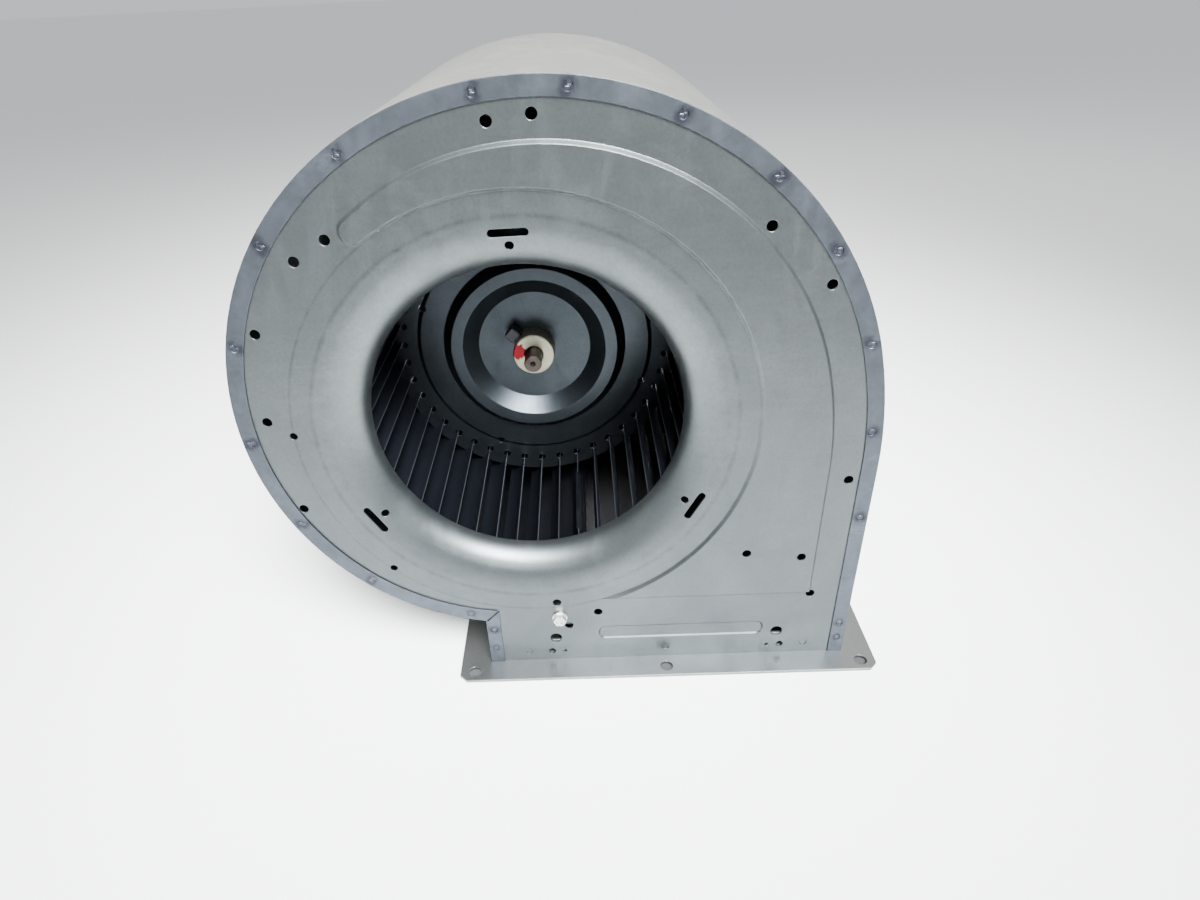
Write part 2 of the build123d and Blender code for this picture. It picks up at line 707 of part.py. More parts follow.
def end_bell(y_face, inward):
    """Cast end bell: plate, spigot rim, bearing boss and vents; inward is the way into the motor."""
    spigot = motor_radius - shell_sheet
    base = y_face + inward * bell_sheet
    rim = base + inward * bell_rim_depth
    boss = y_face + inward * bell_boss_length
    bell = turned((bearing_radius, y_face), (motor_radius - 2, y_face),
                  (motor_radius, y_face + inward * 2), (motor_radius, base),
                  (spigot, base), (spigot, rim), (spigot - 2.4, rim), (spigot - 2.4, base),
                  (bell_boss_radius, base), (bell_boss_radius, boss), (bearing_radius, boss))
    vents = Sketch()
    middle = (bell_boss_radius + spigot) / 2
    for i in range(bell_vents):
        slot = Pos(middle, 0) * SlotOverall(vent_length, vent_width)
        vents += Rot(0, 0, 360.0 / bell_vents * (i + 0.5) + 22.5) * slot
    low, high = sorted((y_face, rim))
    return bell - slab(vents + bolt_holes(bolt_diameter / 2 + 0.1), low - 1, high + 1)


def bearing(y_face, inward):
    low, high = sorted((y_face, y_face + inward * bell_boss_length))
    return ring(bearing_radius, shaft_radius + bearing_gap, low, high)


def stator_core():
    """Laminated core with semi-closed slots and a groove for each through bolt."""
    outer = motor_radius - shell_sheet
    inner = rotor_radius + air_gap
    profile = Circle(outer) - Circle(inner) - bolt_holes(bolt_diameter / 2 + 0.3)
    for a in bolt_angles:
        mouth = Pos(outer, 0) * Rectangle(2 * (outer - bolt_circle_radius), bolt_diameter + 0.6)
        profile -= Rot(0, 0, a) * mouth
    slot_end = outer - stator_yoke
    slot = Pos((inner + 2 + slot_end) / 2, 0) * SlotOverall(slot_end - inner - 2, stator_slot_width)
    slot += Pos(inner, 0) * Rectangle(8, 2)
    for i in range(stator_slots):
        profile -= Rot(0, 0, 360.0 / stator_slots * i) * slot
    return slab(profile, rotor_start, rotor_start + rotor_length)


def stator_windings():
    """End turns at both ends of the core, rounded."""
    outer = motor_radius - shell_sheet - stator_yoke + 1.5
    inner = rotor_radius + air_gap + 2.5
    end = rotor_start + rotor_length
    turns = []
    for low, high in ((rotor_start - winding_length, rotor_start), (end, end + winding_length)):
        coil = ring(outer, inner, low, high)
        turns.append(fillet(coil.edges().filter_by(GeomType.CIRCLE), 4.0))
    return turns


def through_bolts():
    front, rear, _, _ = motor_layout()
    shank = slab(Circle(bolt_diameter / 2), front, rear + bolt_head_height + 2.0)
    head = hex_prism(bolt_head_across_flats, front - bolt_head_height, front)
    bolt = Pos(bolt_circle_radius, 0, 0) * (shank + head)
    return [around(a) * bolt for a in bolt_angles]


def through_bolt_nuts():
    _, rear, _, _ = motor_layout()
    nut = hex_prism(bolt_head_across_flats, rear, rear + bolt_head_height)
    nut -= slab(Circle(bolt_diameter / 2), rear, rear + bolt_head_height)
    return [around(a) * (Pos(bolt_circle_radius, 0, 0) * nut) for a in bolt_angles]


def lead_gland():
    """Rubber gland in the motor shell where the leads come out."""
    inside = motor_radius - shell_sheet - 2
    gland = gland_rod(gland_radius, inside, motor_radius + 3)
    wall = ring(motor_radius, motor_radius - shell_sheet, 0, shell_start + shell_length)
    gland -= wall - gland_rod(gland_radius - 2, inside - 5, motor_radius + 8)
    return gland - gland_rod(gland_bore, inside - 5, motor_radius + 8)


# ---------- band, arms and their fasteners ----------
def band_stations():
    high = shell_start + shell_length - band_from_shell_end
    return high - band_width, high


def band_lug_places():
    inner = motor_radius
    return inner, inner + band_sheet + lug_height, inner + band_sheet + lug_height * 0.6


def motor_band():
    """Clamp band round the motor with two lugs at its gap."""
    low, high = band_stations()
    inner, lug_top, screw_radius = band_lug_places()
    profile = Circle(inner + band_sheet) - Circle(inner)
    for side in (-1, 1):
        middle = side * (band_gap / 2 + lug_sheet / 2)
        profile += Pos((inner + lug_top) / 2 + 0.6, middle) * Rectangle(lug_top - inner - 1.2, lug_sheet)
    profile -= Pos(inner, 0) * Rectangle(4 * band_sheet + 8, band_gap)
    profile -= Circle(inner)
    band = slab(profile, low, high)
    bore = extrude(Circle(clamp_screw_diameter / 2 + 0.15), amount=band_gap + 4 * lug_sheet, both=True)
    return around(band_gap_angle) * (band - Pos(screw_radius, (low + high) / 2, 0) * bore)


def clamp_places():
    low, high = band_stations()
    return Pos(band_lug_places()[2], (low + high) / 2, 0), band_gap / 2 + lug_sheet


def band_clamp_screw():
    place, face = clamp_places()
    shank_end = face + clamp_nut_height + 3.0
    head = Pos(0, 0, -face - clamp_nut_height) * extrude(
        RegularPolygon(clamp_nut_across_flats / 2, 6, major_radius=False), amount=clamp_nut_height)
    shank = Pos(0, 0, -face) * extrude(Circle(clamp_screw_diameter / 2), amount=face + shank_end)
    return around(band_gap_angle) * (place * (head + shank))


def band_clamp_nut():
    place, face = clamp_places()
    profile = RegularPolygon(clamp_nut_across_flats / 2, 6, major_radius=False)
    profile -= Circle(clamp_screw_diameter / 2)
    return around(band_gap_angle) * (place * (Pos(0, 0, face) * extrude(profile, amount=clamp_nut_height)))


def grommet_seat():
    """Station where the grommet's collar rests on the bellmouth's outer part."""
    reach = (bell_radius - arm_hole_radius - grommet_radius) / bell_radial
    return half_width - bell_depth * (1 - (1 - reach ** 2) ** 0.5) + 0.05


def motor_arms():
    """Three strap arms: along the band, out through the throat and over to the panel slots."""
    low, high = band_stations()
    root = motor_radius + band_sheet + arm_sheet / 2
    foot = grommet_seat() + grommet_collar + arm_sheet / 2
    path = [(root, low), (root, high + 6.0), (arm_neck_radius, foot),
            (arm_slot_radius, foot), (arm_slot_radius, half_width - arm_tab_depth)]
    strap = extrude(bent_strip(path, arm_sheet), amount=arm_width / 2, both=True)
    hole = Pos(arm_hole_radius, 0) * Circle(grommet_neck)
    strap -= slab(hole, foot - arm_sheet, foot + arm_sheet)
    return [around(a) * strap for a in arm_angles]


def arm_grommets():
    """Rubber bush in each arm's foot, with a collar above and below."""
    seat = grommet_seat()
    under = seat + grommet_collar
    over = under + arm_sheet
    bush = turned((grommet_bore, seat), (grommet_radius, seat), (grommet_radius, under),
                  (grommet_neck, under), (grommet_neck, over), (grommet_radius, over),
                  (grommet_radius, over + grommet_collar), (grommet_bore, over + grommet_collar))
    return [around(a) * (Pos(arm_hole_radius, 0, 0) * bush) for a in arm_angles]


def arm_screws():
    top = grommet_seat() + 2 * grommet_collar + arm_sheet
    screw = mirror(washer_head_screw(arm_hole_diameter, arm_screw_length), Plane.XZ)
    return [around(a) * (Pos(arm_hole_radius, top, 0) * screw) for a in arm_angles]


# ---------- the whole blower ----------
def build():
    front, rear, _, _ = motor_layout()
    panel = side_panel()
    return {
        "inlet_side_panel": panel,
        "motor_side_panel": mirror(panel, Plane.XZ),
        "scroll_wrap": scroll_wrap(),
        "outlet_flange": outlet_flange(),
        "cutoff_plate": cutoff_plate(),
        "cutoff_screws": cutoff_screws(),
        "centre_disc": centre_disc(),
        "fan_blades": blades(),
        "inlet_end_ring": end_ring(-1),
        "motor_end_ring": end_ring(1),
        "wheel_hub": wheel_hub(),
        "hub_set_screw": hub_set_screw(),
        "balance_clip": balance_clip(),
        "motor_shaft": motor_shaft(),
        "rotor_core": rotor_core(),
        "rotor_end_rings": rotor_end_rings(),
        "thrust_washers": thrust_washers(),
        "motor_shell": motor_shell(),
        "front_end_bell": end_bell(front, 1),
        "rear_end_bell": end_bell(rear, -1),
        "front_bearing": bearing(front, 1),
        "rear_bearing": bearing(rear, -1),
        "stator_core": stator_core(),
        "stator_windings": stator_windings(),
        "through_bolts": through_bolts(),
        "through_bolt_nuts": through_bolt_nuts(),
        "lead_gland": lead_gland(),
        "motor_band": motor_band(),
        "band_clamp_screw": band_clamp_screw(),
        "band_clamp_nut": band_clamp_nut(),
        "motor_arms": motor_arms(),
        "arm_grommets": arm_grommets(),
        "arm_screws": arm_screws(),
    }


def solids_of(piece):
    pieces = piece if isinstance(piece, list) else [piece]
    return [solid for one in pieces for solid in one.solids()]


os.makedirs("parts", exist_ok=True)
placement = Pos(-outlet_middle, 0, axis_height)
for name, piece in build().items():
    solids = [placement * solid for solid in solids_of(piece)]
    shape = solids[0] if len(solids) == 1 else Compound(children=solids)
    export_step(shape, f"parts/{name}.step")
    print(name, len(solids))
print("wheel axis x", round(-outlet_middle, 3), "z", axis_height, "outlet length", round(outlet_length, 3))
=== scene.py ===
import json
import math

import bmesh
import bpy
from mathutils import Matrix, Vector


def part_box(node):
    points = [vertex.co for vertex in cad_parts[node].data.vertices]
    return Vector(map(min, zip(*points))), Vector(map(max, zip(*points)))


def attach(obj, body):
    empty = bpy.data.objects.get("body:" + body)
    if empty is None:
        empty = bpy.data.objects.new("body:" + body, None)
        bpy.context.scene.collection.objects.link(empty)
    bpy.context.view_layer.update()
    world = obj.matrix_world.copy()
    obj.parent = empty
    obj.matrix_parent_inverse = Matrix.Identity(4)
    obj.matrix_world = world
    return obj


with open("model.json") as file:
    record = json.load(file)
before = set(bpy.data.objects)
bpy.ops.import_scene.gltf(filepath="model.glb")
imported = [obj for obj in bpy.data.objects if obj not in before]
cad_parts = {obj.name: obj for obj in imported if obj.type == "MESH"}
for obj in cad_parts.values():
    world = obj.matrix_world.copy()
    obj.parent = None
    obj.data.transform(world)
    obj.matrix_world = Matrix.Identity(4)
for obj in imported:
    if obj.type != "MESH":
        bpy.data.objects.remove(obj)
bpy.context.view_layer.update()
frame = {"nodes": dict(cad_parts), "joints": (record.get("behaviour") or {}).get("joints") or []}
nodes = frame["nodes"]

# ---------- places read from the frame, in metres ----------
MM = 0.001
JOINT = frame["joints"][0]
AXIS_X, _, AXIS_Z = JOINT["pos_m"]
CLINCH_DEPTH = 0.4 * MM
DENT_SLACK = 0.05 * MM
DENT_WIDTH = 5.5 * MM
DENT_VERTICES = 6              # fewer than this are stray corners, not a dent


# ---------- tones of the sheet metal ----------
PANEL_TONE, PANEL_SHADE = (0.135, 0.150, 0.150), (0.092, 0.105, 0.114)
WRAP_TONE, WRAP_SHADE = (0.33, 0.338, 0.305), (0.27, 0.282, 0.26)
# painted shade: the folded rims of the wrap take a dark tone of their own, darker than the up-facing
# sheet
RIM_SHADED_TONE = (0.058, 0.070, 0.092)
FLANGE_TONE, FLANGE_SHADE = (0.27, 0.28, 0.277), (0.215, 0.226, 0.228)
# painted shade: the cutoff plate inside the outlet takes a dark tone for the shade it sits in
CUTOFF_TONE, CUTOFF_SHADE = (0.06, 0.066, 0.08), (0.04, 0.045, 0.058)
# painted shade: the wheel's steel takes a far darker tone than the housing's sheet, standing in for the
# shade inside the housing
WHEEL_TONE, WHEEL_SHADE = (0.052, 0.062, 0.068), (0.034, 0.041, 0.050)
BLADE_TONE, BLADE_SHADE = (0.055, 0.063, 0.085), (0.035, 0.041, 0.06)
# painted shade: the dark tone given to the inner faces of the housing
UNLIT = (0.035, 0.037, 0.045)
# dark around the clinch dents: stain, and painted shade in the hollows
STAIN_AND_SHADE = (0.03, 0.032, 0.042)
STAIN_AND_SHADE_REACH = 6.5 * MM
# painted highlight colour
PAINTED_GLINT = (0.62, 0.66, 0.72)
# painted shade lines along the pressed steps: radius from the wheel axis, half width, strength
PANEL_SHADE_RINGS = ((128.8 * MM, 2.2 * MM, 0.45), (141.5 * MM, 1.2 * MM, 0.45), (122.0 * MM, 4.0 * MM, 0.15))
DISC_SHADE_RINGS = ((67.6 * MM, 1.2 * MM, 0.8), (86.2 * MM, 1.6 * MM, 0.7), (101.0 * MM, 3.0 * MM, 0.3))
# painted highlights along the cut edges: measured by, place, half width, strength
BLADE_PAINTED_GLINTS = (("radius", 100.0 * MM, 0.6 * MM, 0.2), ("along", 128.5 * MM, 1.8 * MM, 1.0))


# ---------- node material helpers ----------
class Graph:
    """A material's node tree with short calls for the nodes used here."""

    def __init__(self, name):
        self.material = bpy.data.materials.new(name)
        self.material.use_nodes = True
        self.tree = self.material.node_tree
        self.shader = self.tree.nodes["Principled BSDF"]
        self.object_space = self.add("ShaderNodeTexCoord").outputs["Object"]

    def add(self, kind, **settings):
        node = self.tree.nodes.new(kind)
        for key, value in settings.items():
            setattr(node, key, value)
        return node

    def link(self, source, target):
        self.tree.links.new(source, target)

    def feed(self, socket, value):
        if isinstance(value, bpy.types.NodeSocket):
            self.link(value, socket)
        else:
            socket.default_value = value

    def stretched(self, scale):
        mapping = self.add("ShaderNodeMapping")
        mapping.inputs["Scale"].default_value = scale
        self.link(self.object_space, mapping.inputs["Vector"])
        return mapping.outputs["Vector"]

    def noise(self, scale, detail=4.0, roughness=0.55, vector=None, distortion=0.0):
        node = self.add("ShaderNodeTexNoise")
        node.inputs["Scale"].default_value = scale
        node.inputs["Detail"].default_value = detail
        node.inputs["Roughness"].default_value = roughness
        node.inputs["Distortion"].default_value = distortion
        self.link(vector or self.object_space, node.inputs["Vector"])
        return node.outputs["Fac"]

    def cells(self, scale):
        node = self.add("ShaderNodeTexVoronoi", feature="F1")
        node.inputs["Scale"].default_value = scale
        self.link(self.object_space, node.inputs["Vector"])
        return node.outputs["Distance"]

    def range(self, source, low, high, to_low, to_high):
        node = self.add("ShaderNodeMapRange")
        node.inputs["From Min"].default_value = low
        node.inputs["From Max"].default_value = high
        node.inputs["To Min"].default_value = to_low
        node.inputs["To Max"].default_value = to_high
        self.link(source, node.inputs["Value"])
        return node.outputs["Result"]

    def math(self, operation, first, second):
        node = self.add("ShaderNodeMath", operation=operation)
        self.feed(node.inputs[0], first)
        self.feed(node.inputs[1], second)
        return node.outputs["Value"]

    def mix(self, factor, first, second, blend="MIX"):
        node = self.add("ShaderNodeMix", data_type="RGBA", blend_type=blend)
        self.feed(node.inputs[0], factor)
        for socket, value in ((node.inputs[6], first), (node.inputs[7], second)):
            self.feed(socket, (*value, 1.0) if isinstance(value, tuple) and len(value) == 3 else value)
        return node.outputs[2]

    def bump(self, *layers, start=None):
        """Stack of (height, strength, distance) bumps ending on the shader's normal."""
        previous = start
        for height, strength, distance in layers:
            node = self.add("ShaderNodeBump")
            node.inputs["Strength"].default_value = strength
            node.inputs["Distance"].default_value = distance
            self.link(height, node.inputs["Height"])
            if previous is not None:
                self.link(previous, node.inputs["Normal"])
            previous = node.outputs["Normal"]
        self.link(previous, self.shader.inputs["Normal"])

    def finish(self, color, metallic, roughness, **sockets):
        self.feed(self.shader.inputs["Base Color"], color)
        self.shader.inputs["Metallic"].default_value = metallic
        self.feed(self.shader.inputs["Roughness"], roughness)
        for name, value in sockets.items():
            self.shader.inputs[name.replace("_", " ")].default_value = value
        return self.material


def axis_place(g):
    """Distances from the wheel axis: across, up and radial, from object coordinates."""
    split = g.add("ShaderNodeSeparateXYZ")
    g.link(g.object_space, split.inputs[0])
    across = g.math("SUBTRACT", split.outputs["X"], AXIS_X)
    up = g.math("SUBTRACT", split.outputs["Z"], AXIS_Z)
    squares = g.math("ADD", g.math("MULTIPLY", across, across), g.math("MULTIPLY", up, up))
    return across, split.outputs["Y"], up, g.math("SQRT", squares, 0.0)


def hump(g, source, centre, half_width):
    """1 at a value, falling to 0 a half width away from it."""
    off = g.math("ABSOLUTE", g.math("SUBTRACT", source, centre), 0.0)
    return g.range(off, 0.0, half_width, 1.0, 0.0)


def dents(node, depth):
    """Middles of the clusters of vertices that lie at a dent's depth behind a node's end faces.

    A corner of the folded edge beside a dent can start a cluster of its own and take some of the
    dent's vertices, so a dent may give two middles.
    """
    low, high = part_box(node)
    found = []
    for vertex in nodes[node].data.vertices:
        spot = vertex.co
        into = min(spot.y - low.y, high.y - spot.y)
        if abs(into - depth) > DENT_SLACK:
            continue
        for group in found:
            if (group[0] - spot).length < DENT_WIDTH:
                group.append(spot.copy())
                break
        else:
            found.append([spot.copy()])
    return [sum(group, Vector()) / len(group) for group in found if len(group) >= DENT_VERTICES]


def spot_falloff(g, places, reach):
    """1 at the nearest of some places, falling to 0 at a distance from it."""
    nearest = None
    for place in places:
        gap = g.add("ShaderNodeVectorMath", operation="DISTANCE")
        g.link(g.object_space, gap.inputs[0])
        gap.inputs[1].default_value = place
        value = gap.outputs["Value"]
        nearest = value if nearest is None else g.math("MINIMUM", nearest, value)
    return g.range(nearest, 0.0, reach, 1.0, 0.0)


def facing(g):
    """The surface's own direction as (X, Y, Z) sockets."""
    split = g.add("ShaderNodeSeparateXYZ")
    g.link(g.add("ShaderNodeNewGeometry").outputs["True Normal"], split.inputs[0])
    return split.outputs["X"], split.outputs["Y"], split.outputs["Z"]


def galvanised(name, tone, shade, rough=0.40, shaded_fold_tone=None, painted_shade_side=None, rings=(), edge=0.7 * MM,
               spots=(), painted_glints=()):
    """Galvanised sheet: cloudy zinc, rolled grain, wipe marks, scuffs, and painted shade along the press
    lines and towards the foot.

    the fold tone is painted shade on what faces along Y; the painted shade side is "axis" for a wall
    whose wheel side is painted dark as unlit, or +1 / -1 for a panel whose +Y / -Y side is. rings are
    radii of painted shade lines along the pressed steps, spots are clinch dents darkened around by stain
    and painted shade, and glints are bands of painted highlight along the cut edges.
    """
    g = Graph(name)
    across, along, up, radius = axis_place(g)
    nx, ny, nz = facing(g)
    cloud = g.noise(7.0, 6.0, 0.62, distortion=0.5)
    mottle = g.noise(75.0, 6.0, 0.72)
    speck = g.noise(520.0, 3.0, 0.65)
    fine = g.noise(1500.0, 2.0, 0.6)
    rolled = g.noise(34.0, 5.0, 0.66, vector=g.stretched((1.0, 1.0, 7.0)))
    wiped = g.noise(11.0, 7.0, 0.7, vector=g.stretched((3.0, 1.0, 1.0)), distortion=1.6)
    scuffed = g.noise(15.0, 8.0, 0.74, vector=g.stretched((1.0, 1.0, 2.6)), distortion=0.8)
    base = g.mix(g.range(cloud, 0.32, 0.70, 0.0, 0.8), tone, shade)
    base = g.mix(g.range(rolled, 0.35, 0.7, 0.0, 0.24), base, tuple(0.62 * c for c in tone))
    base = g.mix(g.range(mottle, 0.38, 0.72, 0.0, 0.30), base, tuple(0.55 * c for c in tone))
    base = g.mix(g.range(speck, 0.42, 0.72, 0.0, 0.24), base, tuple(0.5 * c for c in shade))
    base = g.mix(g.range(wiped, 0.60, 0.80, 0.0, 0.38), base, tuple(0.5 * c for c in shade))
    base = g.mix(g.range(scuffed, 0.66, 0.78, 0.0, 0.45), base, tuple(min(1.0, 1.5 * c) for c in tone))
    # painted shade: darker towards the foot, broken up by the cloud, to even out the light that the pale
    # floor throws up
    painted_low_shade = g.math("MULTIPLY", g.range(up, 0.06, -0.16, 0.0, 0.9), g.range(cloud, 0.3, 0.7, 0.45, 0.75))
    base = g.mix(painted_low_shade, base, tuple(0.55 * c for c in shade))
    # painted shade by facing: what faces along Y (the folded rims) takes the dark fold tone, with mottle
    # and scuffs worked in as wear
    if shaded_fold_tone:
        folded = g.range(g.math("ABSOLUTE", ny, 0.0), 0.6, 0.9, 0.0, 0.9)
        dark_fold, light_fold = (tuple(k * c for c in shaded_fold_tone) for k in (0.5, 1.9))
        worn_shaded_fold = g.mix(g.range(mottle, 0.35, 0.65, 0.0, 0.7), shaded_fold_tone, dark_fold)
        worn_shaded_fold = g.mix(g.range(scuffed, 0.60, 0.74, 0.0, 0.7), worn_shaded_fold, light_fold)
        base = g.mix(folded, base, worn_shaded_fold)
    # stain and painted shade darken the sheet around the clinch dents
    if spots:
        stain_and_shade_mask = g.math("MULTIPLY", spot_falloff(g, spots, STAIN_AND_SHADE_REACH), g.range(mottle, 0.35, 0.6, 0.45, 1.5))
        base = g.mix(g.range(stain_and_shade_mask, 0.2, 0.75, 0.0, 0.9), base, STAIN_AND_SHADE)
    # painted highlights: bright bands along the blades' inner edges and end tabs
    for source, place, width, strength in painted_glints:
        band = hump(g, radius if source == "radius" else g.math("ABSOLUTE", along, 0.0), place, width)
        base = g.mix(g.range(band, 0.0, 0.6, 0.0, strength), base, PAINTED_GLINT)
    # painted shade lines along the pressed steps, broken up by the mottle
    for shade_line_radius, width, strength in rings:
        broken = g.range(mottle, 0.35, 0.6, 0.0, strength)
        worn = g.math("MULTIPLY", hump(g, radius, shade_line_radius, width), broken)
        base = g.mix(worn, base, tuple(0.35 * c for c in shade))
    roughness = g.math("ADD", g.range(cloud, 0.3, 0.7, rough - 0.05, rough + 0.05),
                       g.range(wiped, 0.5, 0.8, 0.0, 0.14))
    # painted shade: the faces on the wheel side, or on the given side of a panel, take the dark unlit
    # tone
    if painted_shade_side == "axis":
        inward = g.math("ADD", g.math("MULTIPLY", nx, across), g.math("MULTIPLY", nz, up))
        painted_shade_mask = g.range(inward, 0.0, -0.02, 0.0, 1.0)
    elif painted_shade_side:
        painted_shade_mask = g.range(ny, 0.2 * painted_shade_side, 0.5 * painted_shade_side, 0.0, 1.0)
    if painted_shade_side:
        base = g.mix(painted_shade_mask, base, UNLIT)
    soft = g.add("ShaderNodeBevel", samples=4)
    soft.inputs["Radius"].default_value = edge
    g.bump((rolled, 0.10, 0.0005), (mottle, 0.16, 0.0004), (speck, 0.16, 0.0002), (fine, 0.12, 0.0001),
           start=soft.outputs["Normal"])
    return g.finish(base, 0.92, roughness)


def machined(name, tone, rough=0.3, paint=None):
    """Turned or rolled bar with fine lines round it and light handling marks.

    paint is (where, reach, colour) of an inspector's dab of paint.
    """
    g = Graph(name)
    turning = g.noise(420.0, 2.0, 0.6, vector=g.stretched((0.25, 6.0, 0.25)))
    marks = g.noise(70.0, 6.0, 0.7, distortion=0.8)
    base = g.mix(g.range(turning, 0.3, 0.7, 0.0, 0.35), tone, tuple(0.66 * c for c in tone))
    base = g.mix(g.range(marks, 0.58, 0.75, 0.0, 0.5), base, tuple(0.45 * c for c in tone))
    roughness = g.range(marks, 0.3, 0.75, rough, rough + 0.2)
    if paint:
        where, reach, colour = paint
        torn = g.range(g.noise(260.0, 4.0, 0.6), 0.3, 0.7, -0.25, 0.25)
        ragged = g.math("ADD", spot_falloff(g, [where], reach), torn)
        base = g.mix(g.range(ragged, 0.25, 0.4, 0.0, 1.0), base, colour)
    g.bump((turning, 0.2, 0.0001), (marks, 0.1, 0.0002))
    return g.finish(base, 1.0, roughness)


def plated(name, tone, tint, rough=0.22):
    """Bright zinc plate with a faint rainbow."""
    g = Graph(name)
    cloud = g.noise(120.0, 5.0, 0.6, distortion=0.6)
    grain = g.noise(1400.0, 2.0, 0.5)
    base = g.mix(g.range(cloud, 0.35, 0.7, 0.0, 1.0), tone, tint)
    roughness = g.range(cloud, 0.3, 0.7, rough, rough + 0.16)
    g.bump((grain, 0.12, 0.00008), (cloud, 0.1, 0.0002))
    return g.finish(base, 1.0, roughness)


def cast(name, tone, rough=0.5):
    """Die-cast or sintered metal: pitted skin with darker hollows."""
    g = Graph(name)
    skin = g.noise(300.0, 5.0, 0.65)
    pits = g.cells(700.0)
    base = g.mix(g.range(skin, 0.35, 0.7, 0.0, 0.6), tone, tuple(0.6 * c for c in tone))
    base = g.mix(g.range(pits, 0.0, 0.25, 0.35, 0.0), base, tuple(0.35 * c for c in tone))
    g.bump((skin, 0.3, 0.0003), (pits, 0.15, 0.0001))
    return g.finish(base, 0.9, g.range(skin, 0.3, 0.7, rough - 0.08, rough + 0.12))


def enamel(name, tone, rough=0.34):
    """Satin black enamel with orange peel and dust."""
    g = Graph(name)
    peel = g.noise(650.0, 3.0, 0.5)
    dust = g.noise(45.0, 8.0, 0.7, distortion=0.6)
    base = g.mix(g.range(dust, 0.5, 0.8, 0.0, 0.35), tone, (0.16, 0.155, 0.145))
    g.bump((peel, 0.16, 0.0002), (dust, 0.08, 0.0002))
    return g.finish(base, 0.0, g.range(dust, 0.35, 0.75, rough, rough + 0.25), Coat_Weight=0.15,
                    Coat_Roughness=0.3)


def black_oxide(name):
    """Oiled black screw, worn to steel on its high spots."""
    g = Graph(name)
    wear = g.noise(260.0, 5.0, 0.7)
    grain = g.noise(1200.0, 2.0, 0.5)
    base = g.mix(g.range(wear, 0.6, 0.72, 0.0, 1.0), (0.018, 0.018, 0.022), (0.11, 0.11, 0.12))
    g.bump((wear, 0.2, 0.0002), (grain, 0.12, 0.0001))
    return g.finish(base, 0.6, g.range(wear, 0.3, 0.7, 0.3, 0.5))


def laminated(name):
    """Stacked electrical steel, blued, with the sheet edges as fine lines."""
    g = Graph(name)
    sheets = g.add("ShaderNodeTexWave", wave_type="BANDS", bands_direction="Y")
    sheets.inputs["Scale"].default_value = 320.0
    g.link(g.object_space, sheets.inputs["Vector"])
    lines = sheets.outputs["Fac"]
    bloom = g.noise(60.0, 5.0, 0.6)
    base = g.mix(g.range(bloom, 0.3, 0.7, 0.0, 1.0), (0.10, 0.11, 0.14), (0.19, 0.18, 0.18))
    base = g.mix(g.range(lines, 0.0, 0.4, 0.5, 0.0), base, (0.03, 0.03, 0.035))
    g.bump((lines, 0.4, 0.0002), (bloom, 0.1, 0.0002))
    return g.finish(base, 0.7, g.range(bloom, 0.3, 0.7, 0.42, 0.58))


def copper_coil(name):
    """Enamelled winding wire under varnish."""
    g = Graph(name)
    wires = g.add("ShaderNodeTexWave", wave_type="RINGS", rings_direction="Y")
    wires.inputs["Scale"].default_value = 260.0
    wires.inputs["Distortion"].default_value = 2.0
    g.link(g.object_space, wires.inputs["Vector"])
    varnish = g.noise(90.0, 5.0, 0.6)
    base = g.mix(g.range(varnish, 0.3, 0.7, 0.0, 1.0), (0.30, 0.095, 0.025), (0.42, 0.16, 0.05))
    base = g.mix(g.range(wires.outputs["Fac"], 0.0, 0.5, 0.6, 0.0), base, (0.09, 0.03, 0.01))
    g.bump((wires.outputs["Fac"], 0.5, 0.0003), (varnish, 0.15, 0.0003))
    return g.finish(base, 0.35, g.range(varnish, 0.3, 0.7, 0.28, 0.45), Coat_Weight=0.4)


def moulded_rubber(name):
    g = Graph(name)
    bloom = g.noise(80.0, 6.0, 0.65)
    grain = g.noise(1100.0, 3.0, 0.6)
    base = g.mix(g.range(bloom, 0.4, 0.75, 0.0, 0.5), (0.022, 0.022, 0.024), (0.065, 0.064, 0.062))
    g.bump((grain, 0.3, 0.00015), (bloom, 0.1, 0.0002))
    return g.finish(base, 0.0, g.range(bloom, 0.3, 0.7, 0.62, 0.8))


def plain_nylon(name):
    g = Graph(name)
    cloud = g.noise(90.0, 5.0, 0.6)
    grain = g.noise(900.0, 2.0, 0.5)
    base = g.mix(cloud, (0.66, 0.63, 0.55), (0.78, 0.76, 0.69))
    g.bump((grain, 0.12, 0.0001), (cloud, 0.08, 0.0002))
    return g.finish(base, 0.0, g.range(cloud, 0.3, 0.7, 0.4, 0.55), Subsurface_Weight=0.08)


# ---------- CAD nodes keep their shape and take these finishes ----------
panel_steel = galvanised("panel_steel", PANEL_TONE, PANEL_SHADE, rough=0.35, painted_shade_side=1,
                         rings=PANEL_SHADE_RINGS)
far_panel_steel = galvanised("far_panel_steel", PANEL_TONE, PANEL_SHADE, rough=0.35, painted_shade_side=-1,
                             rings=PANEL_SHADE_RINGS)
clinches = dents("scroll_wrap", CLINCH_DEPTH)
wrap_steel = galvanised("wrap_steel", WRAP_TONE, WRAP_SHADE, rough=0.46, shaded_fold_tone=RIM_SHADED_TONE,
                        painted_shade_side="axis", spots=clinches)
flange_steel = galvanised("flange_steel", FLANGE_TONE, FLANGE_SHADE, rough=0.36)
# painted shade: the cutoff plate's dark tone
shaded_cutoff_steel = galvanised("shaded_cutoff_steel", CUTOFF_TONE, CUTOFF_SHADE)
